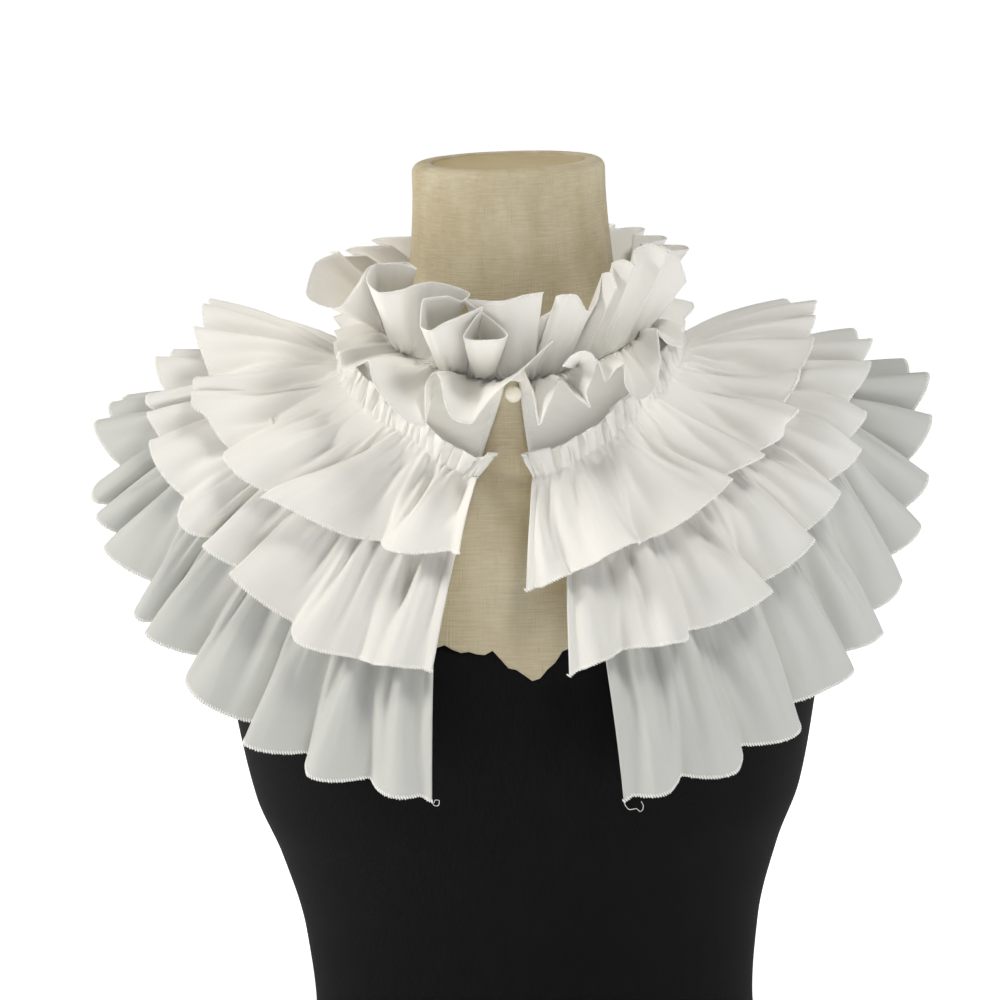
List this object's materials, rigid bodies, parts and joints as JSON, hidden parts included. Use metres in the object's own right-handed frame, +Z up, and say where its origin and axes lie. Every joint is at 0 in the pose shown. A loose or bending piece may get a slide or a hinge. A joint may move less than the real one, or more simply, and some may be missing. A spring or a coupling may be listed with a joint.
{
  "type": "ruff collar on a dress form",
  "caption": "Gathered cape collar of white cotton in tiers, with a doubled neck ruffle and a pearl bead button, worn on a limbless dress form with a flat base.",
  "frame": {"origin": "the middle of the dress form's flat base, on the plane it stands on", "axes": "+Z up along the form's neck, -Y towards the collar's fastened front, +X to the right of a viewer who faces the front"},
  "size_m": [0.4829, 0.3028, 0.7],
  "materials": {
    "cotton": "crisp white cotton lawn, matte plain weave",
    "linen": "natural slubby linen, matte",
    "jersey": "black cotton jersey, matte",
    "board": "varnished papier-mache board",
    "pearl": "glossy cream imitation pearl"
  },
  "bodies": {
    "root": {"neck_ruffle": "cotton", "yoke": "cotton", "tier_1": "cotton", "tier_2": "cotton", "tier_3": "cotton", "pearl_button": "pearl", "form_bust": "linen", "form_body": "jersey", "form_cap": "board"}
  },
  "joints": []
}
